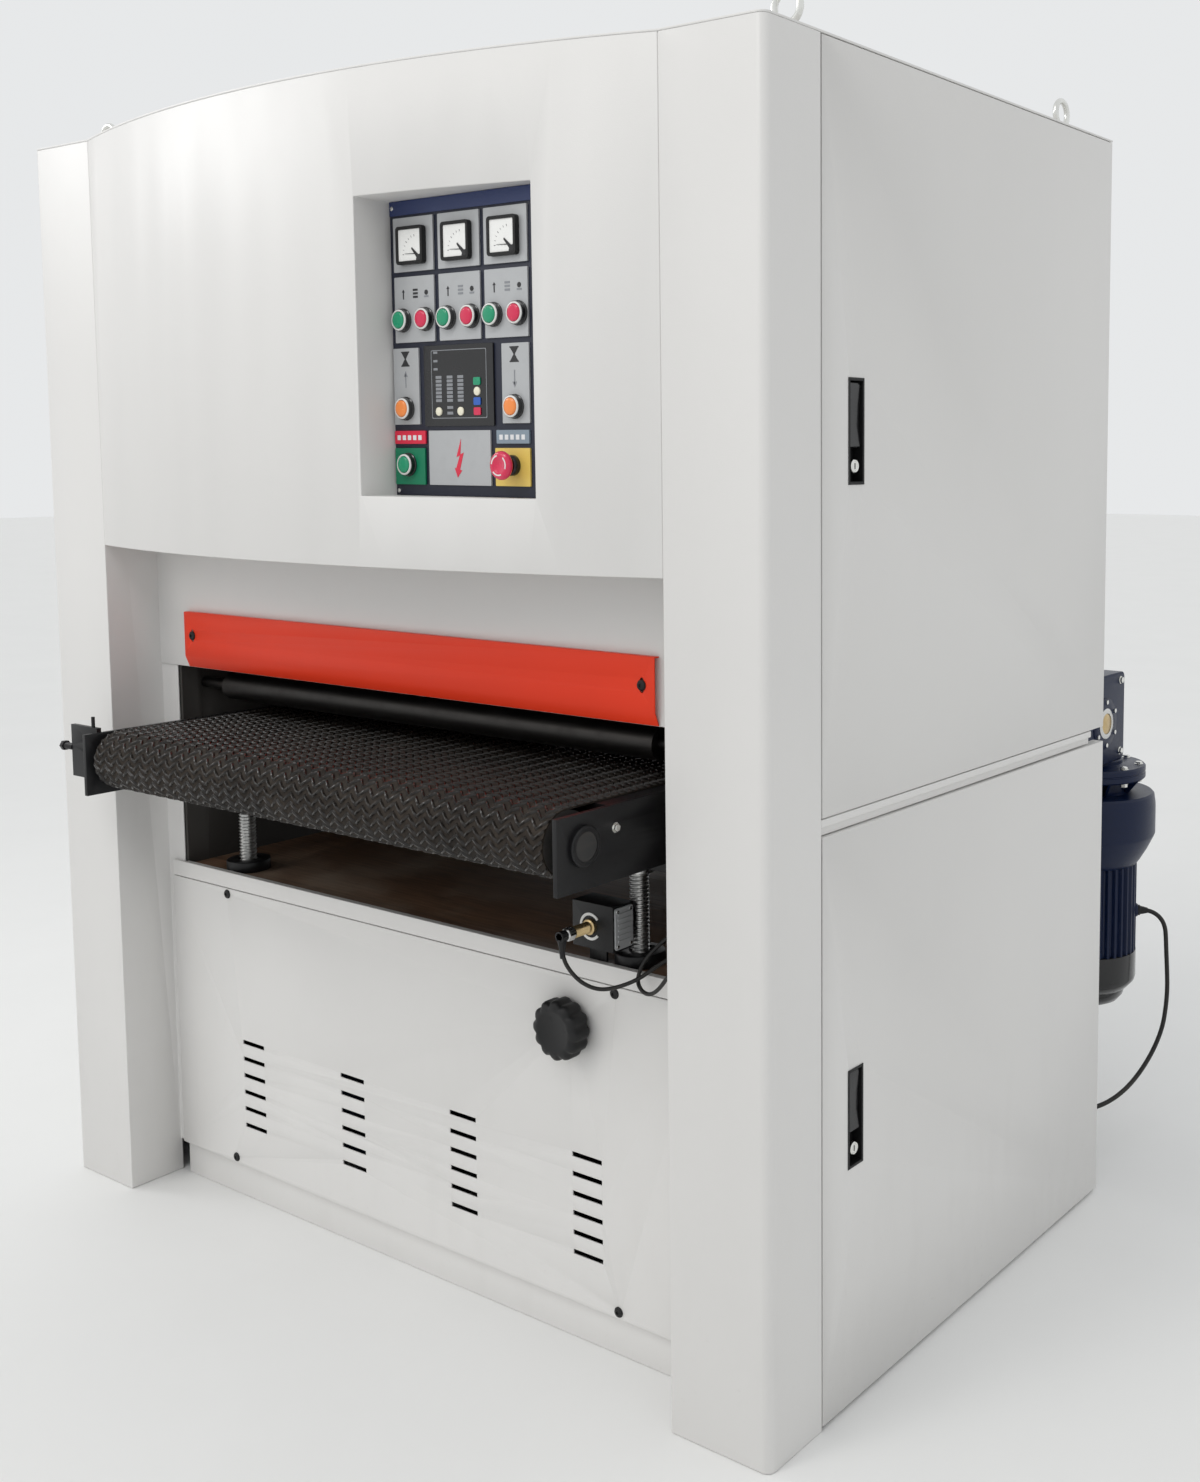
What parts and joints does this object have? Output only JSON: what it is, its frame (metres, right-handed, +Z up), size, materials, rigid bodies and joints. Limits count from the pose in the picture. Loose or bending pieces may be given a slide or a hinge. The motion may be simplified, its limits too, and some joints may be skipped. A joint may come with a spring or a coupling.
{
  "type": "wide-belt drum sander",
  "caption": "Industrial wide-belt drum sander: tall sheet-metal casing with a bulged front and control recess, feed table on lift screws, contact drum, contact roller and platen inside.",
  "frame": {"origin": "on the floor under the middle of the casing", "axes": "+X to the right of the person feeding boards in, +Y the way the boards travel, +Z up"},
  "size_m": [1.65, 1.5199, 1.99],
  "materials": {
    "casing_paint": "light grey enamel, lightly textured",
    "guard_paint": "red-orange enamel",
    "frame_paint": "dark grey enamel",
    "black_paint": "black enamel",
    "navy_paint": "dark blue gloss enamel",
    "board": "brown board with sanding dust",
    "bright_steel": "turned steel",
    "zinc": "bright zinc",
    "cast_iron": "machined casting",
    "panel_dark": "dark blue satin",
    "panel_grey": "light grey printed foil",
    "green_cap": "green translucent cap",
    "red_cap": "red cap",
    "orange_cap": "orange cap",
    "black_plastic": "moulded black plastic",
    "feed_rubber": "rough-top conveyor rubber",
    "drum_rubber": "grooved contact rubber",
    "abrasive": "aluminium oxide on cloth",
    "drive_rubber": "ribbed drive belt",
    "cable_sheath": "black cable sheath"
  },
  "bodies": {
    "machine": {"abrasive_belts": "abrasive", "base_board": "board", "base_frame": "casing_paint", "bearing_housings": "cast_iron", "control_plate": "panel_dark", "cover_screws": "black_plastic", "door_hinges": "zinc", "drive_belts": "drive_rubber", "eye_bolts": "zinc", "fixed_covers": "casing_paint", "front_guard": "guard_paint", "front_panel": "casing_paint", "front_pillars": "casing_paint", "head_beams": "frame_paint", "lift_chain": "bright_steel", "limit_switch": "black_plastic", "lower_cover": "casing_paint", "main_motors": "navy_paint", "panel_tiles": "panel_grey", "platen": "cast_iron", "recess_panel": "casing_paint", "screw_housings": "cast_iron", "side_frames": "frame_paint", "switch_cable": "cable_sheath", "top_cover": "casing_paint"},
    "table": {"table_frame": "black_paint", "lift_screws": "bright_steel", "feed_belt": "feed_rubber", "worm_gearbox": "navy_paint", "feed_motor": "navy_paint", "motor_cable": "cable_sheath"},
    "upper_door": {"upper_door": "casing_paint"},
    "lower_door": {"lower_door": "casing_paint"},
    "upper_handle": {"upper_handle": "black_plastic"},
    "lower_handle": {"lower_handle": "black_plastic"},
    "hand_knob": {"hand_knob": "black_plastic"},
    "front_roller": {"front_roller": "bright_steel"},
    "rear_roller": {"rear_roller": "bright_steel"},
    "contact_drum": {"contact_drum": "drum_rubber"},
    "contact_roller": {"contact_roller": "drum_rubber"},
    "front_tension_roller": {"front_tension_roller": "bright_steel"},
    "rear_tension_roller": {"rear_tension_roller": "bright_steel"},
    "infeed_roller": {"infeed_roller": "drum_rubber"},
    "outfeed_roller": {"outfeed_roller": "drum_rubber"},
    "front_motor_pulley": {"front_motor_pulley": "cast_iron"},
    "rear_motor_pulley": {"rear_motor_pulley": "cast_iron"},
    "emergency_stop": {"emergency_stop": "red_cap"},
    "start_button_1": {"start_button_1": "green_cap"},
    "stop_button_1": {"stop_button_1": "red_cap"},
    "start_button_2": {"start_button_2": "green_cap"},
    "stop_button_2": {"stop_button_2": "red_cap"},
    "start_button_3": {"start_button_3": "green_cap"},
    "stop_button_3": {"stop_button_3": "red_cap"},
    "raise_button": {"raise_button": "orange_cap"},
    "lower_button": {"lower_button": "orange_cap"},
    "power_button": {"power_button": "green_cap"},
    "lift_nut_front_left": {"lift_nut_front_left": "cast_iron"},
    "lift_nut_front_right": {"lift_nut_front_right": "cast_iron"},
    "lift_nut_rear_left": {"lift_nut_rear_left": "cast_iron"},
    "lift_nut_rear_right": {"lift_nut_rear_right": "cast_iron"}
  },
  "joints": [
    {"name": "table_lift", "type": "slide", "parent": "machine", "child": "table", "axis": [0, 0, 1], "range_m": [-0.075, 0.022]},
    {"name": "lift_nut_front_left_turn", "type": "hinge", "parent": "machine", "child": "lift_nut_front_left", "pos_m": [-0.475, -0.355, 0.53], "axis": [0, 0, 1], "range_deg": [-3240, 1080]},
    {"name": "lift_nut_front_right_turn", "type": "hinge", "parent": "machine", "child": "lift_nut_front_right", "pos_m": [0.475, -0.355, 0.53], "axis": [0, 0, 1], "range_deg": [-3240, 1080]},
    {"name": "lift_nut_rear_left_turn", "type": "hinge", "parent": "machine", "child": "lift_nut_rear_left", "pos_m": [-0.475, 0.355, 0.53], "axis": [0, 0, 1], "range_deg": [-3240, 1080]},
    {"name": "lift_nut_rear_right_turn", "type": "hinge", "parent": "machine", "child": "lift_nut_rear_right", "pos_m": [0.475, 0.355, 0.53], "axis": [0, 0, 1], "range_deg": [-3240, 1080]},
    {"name": "hand_knob_turn", "type": "hinge", "parent": "machine", "child": "hand_knob", "pos_m": [0.38, -0.42, 0.5], "axis": [0, -1, 0], "range_deg": [-3240, 1080]},
    {"name": "rear_roller_turn", "type": "hinge", "parent": "table", "child": "rear_roller", "pos_m": [0, 0.719, 0.832], "axis": [-1, 0, 0], "continuous": true},
    {"name": "front_roller_turn", "type": "hinge", "parent": "table", "child": "front_roller", "pos_m": [0, -0.56, 0.832], "axis": [-1, 0, 0], "continuous": true},
    {"name": "contact_drum_turn", "type": "hinge", "parent": "machine", "child": "contact_drum", "pos_m": [0, -0.17, 1.0298], "axis": [-1, 0, 0], "continuous": true},
    {"name": "front_tension_roller_turn", "type": "hinge", "parent": "machine", "child": "front_tension_roller", "pos_m": [0, -0.17, 1.69], "axis": [-1, 0, 0], "continuous": true},
    {"name": "front_motor_pulley_turn", "type": "hinge", "parent": "machine", "child": "front_motor_pulley", "pos_m": [0, -0.17, 0.25], "axis": [-1, 0, 0], "continuous": true},
    {"name": "contact_roller_turn", "type": "hinge", "parent": "machine", "child": "contact_roller", "pos_m": [0, 0.12, 0.9998], "axis": [-1, 0, 0], "continuous": true},
    {"name": "rear_tension_roller_turn", "type": "hinge", "parent": "machine", "child": "rear_tension_roller", "pos_m": [0, 0.2, 1.6], "axis": [-1, 0, 0], "continuous": true},
    {"name": "rear_motor_pulley_turn", "type": "hinge", "parent": "machine", "child": "rear_motor_pulley", "pos_m": [0, 0.12, 0.25], "axis": [-1, 0, 0], "continuous": true},
    {"name": "infeed_roller_turn", "type": "hinge", "parent": "machine", "child": "infeed_roller", "pos_m": [0, -0.345, 0.9335], "axis": [1, 0, 0], "continuous": true},
    {"name": "outfeed_roller_turn", "type": "hinge", "parent": "machine", "child": "outfeed_roller", "pos_m": [0, 0.4, 0.9335], "axis": [1, 0, 0], "continuous": true},
    {"name": "upper_door_swing", "type": "hinge", "parent": "machine", "child": "upper_door", "pos_m": [0.813, 0.485, 1.4], "axis": [0, 0, 1], "range_deg": [0, 100]},
    {"name": "lower_door_swing", "type": "hinge", "parent": "machine", "child": "lower_door", "pos_m": [0.813, 0.485, 0.42], "axis": [0, 0, 1], "range_deg": [0, 100]},
    {"name": "upper_handle_pull", "type": "hinge", "parent": "upper_door", "child": "upper_handle", "pos_m": [0.816, -0.298, 1.449], "axis": [0, -1, 0], "range_deg": [0, 55], "stiffness_Nm_per_rad": 0.2},
    {"name": "lower_handle_pull", "type": "hinge", "parent": "lower_door", "child": "lower_handle", "pos_m": [0.816, -0.298, 0.487], "axis": [0, -1, 0], "range_deg": [0, 55], "stiffness_Nm_per_rad": 0.2},
    {"name": "start_button_1_press", "type": "slide", "parent": "machine", "child": "start_button_1", "axis": [0, 1, 0], "range_m": [0, 0.003], "stiffness_N_per_m": 400},
    {"name": "stop_button_1_press", "type": "slide", "parent": "machine", "child": "stop_button_1", "axis": [0, 1, 0], "range_m": [0, 0.003], "stiffness_N_per_m": 400},
    {"name": "start_button_2_press", "type": "slide", "parent": "machine", "child": "start_button_2", "axis": [0, 1, 0], "range_m": [0, 0.003], "stiffness_N_per_m": 400},
    {"name": "stop_button_2_press", "type": "slide", "parent": "machine", "child": "stop_button_2", "axis": [0, 1, 0], "range_m": [0, 0.003], "stiffness_N_per_m": 400},
    {"name": "start_button_3_press", "type": "slide", "parent": "machine", "child": "start_button_3", "axis": [0, 1, 0], "range_m": [0, 0.003], "stiffness_N_per_m": 400},
    {"name": "stop_button_3_press", "type": "slide", "parent": "machine", "child": "stop_button_3", "axis": [0, 1, 0], "range_m": [0, 0.003], "stiffness_N_per_m": 400},
    {"name": "raise_button_press", "type": "slide", "parent": "machine", "child": "raise_button", "axis": [0, 1, 0], "range_m": [0, 0.003], "stiffness_N_per_m": 400},
    {"name": "lower_button_press", "type": "slide", "parent": "machine", "child": "lower_button", "axis": [0, 1, 0], "range_m": [0, 0.003], "stiffness_N_per_m": 400},
    {"name": "power_button_press", "type": "slide", "parent": "machine", "child": "power_button", "axis": [0, 1, 0], "range_m": [0, 0.003], "stiffness_N_per_m": 400},
    {"name": "emergency_stop_press", "type": "slide", "parent": "machine", "child": "emergency_stop", "axis": [0, 1, 0], "range_m": [0, 0.004]}
  ],
  "couplings": [
    {"joint": "lift_nut_front_left_turn", "follows": "table_lift", "rad_per_m": 628.32},
    {"joint": "lift_nut_front_right_turn", "follows": "table_lift", "rad_per_m": 628.32},
    {"joint": "lift_nut_rear_left_turn", "follows": "table_lift", "rad_per_m": 628.32},
    {"joint": "lift_nut_rear_right_turn", "follows": "table_lift", "rad_per_m": 628.32},
    {"joint": "hand_knob_turn", "follows": "table_lift", "rad_per_m": 628.32},
    {"joint": "front_roller_turn", "follows": "rear_roller_turn", "ratio": 1},
    {"joint": "front_tension_roller_turn", "follows": "contact_drum_turn", "ratio": 2.1754},
    {"joint": "front_motor_pulley_turn", "follows": "contact_drum_turn", "ratio": 0.87547},
    {"joint": "rear_tension_roller_turn", "follows": "contact_roller_turn", "ratio": 1.6329},
    {"joint": "rear_motor_pulley_turn", "follows": "contact_roller_turn", "ratio": 0.87547}
  ]
}
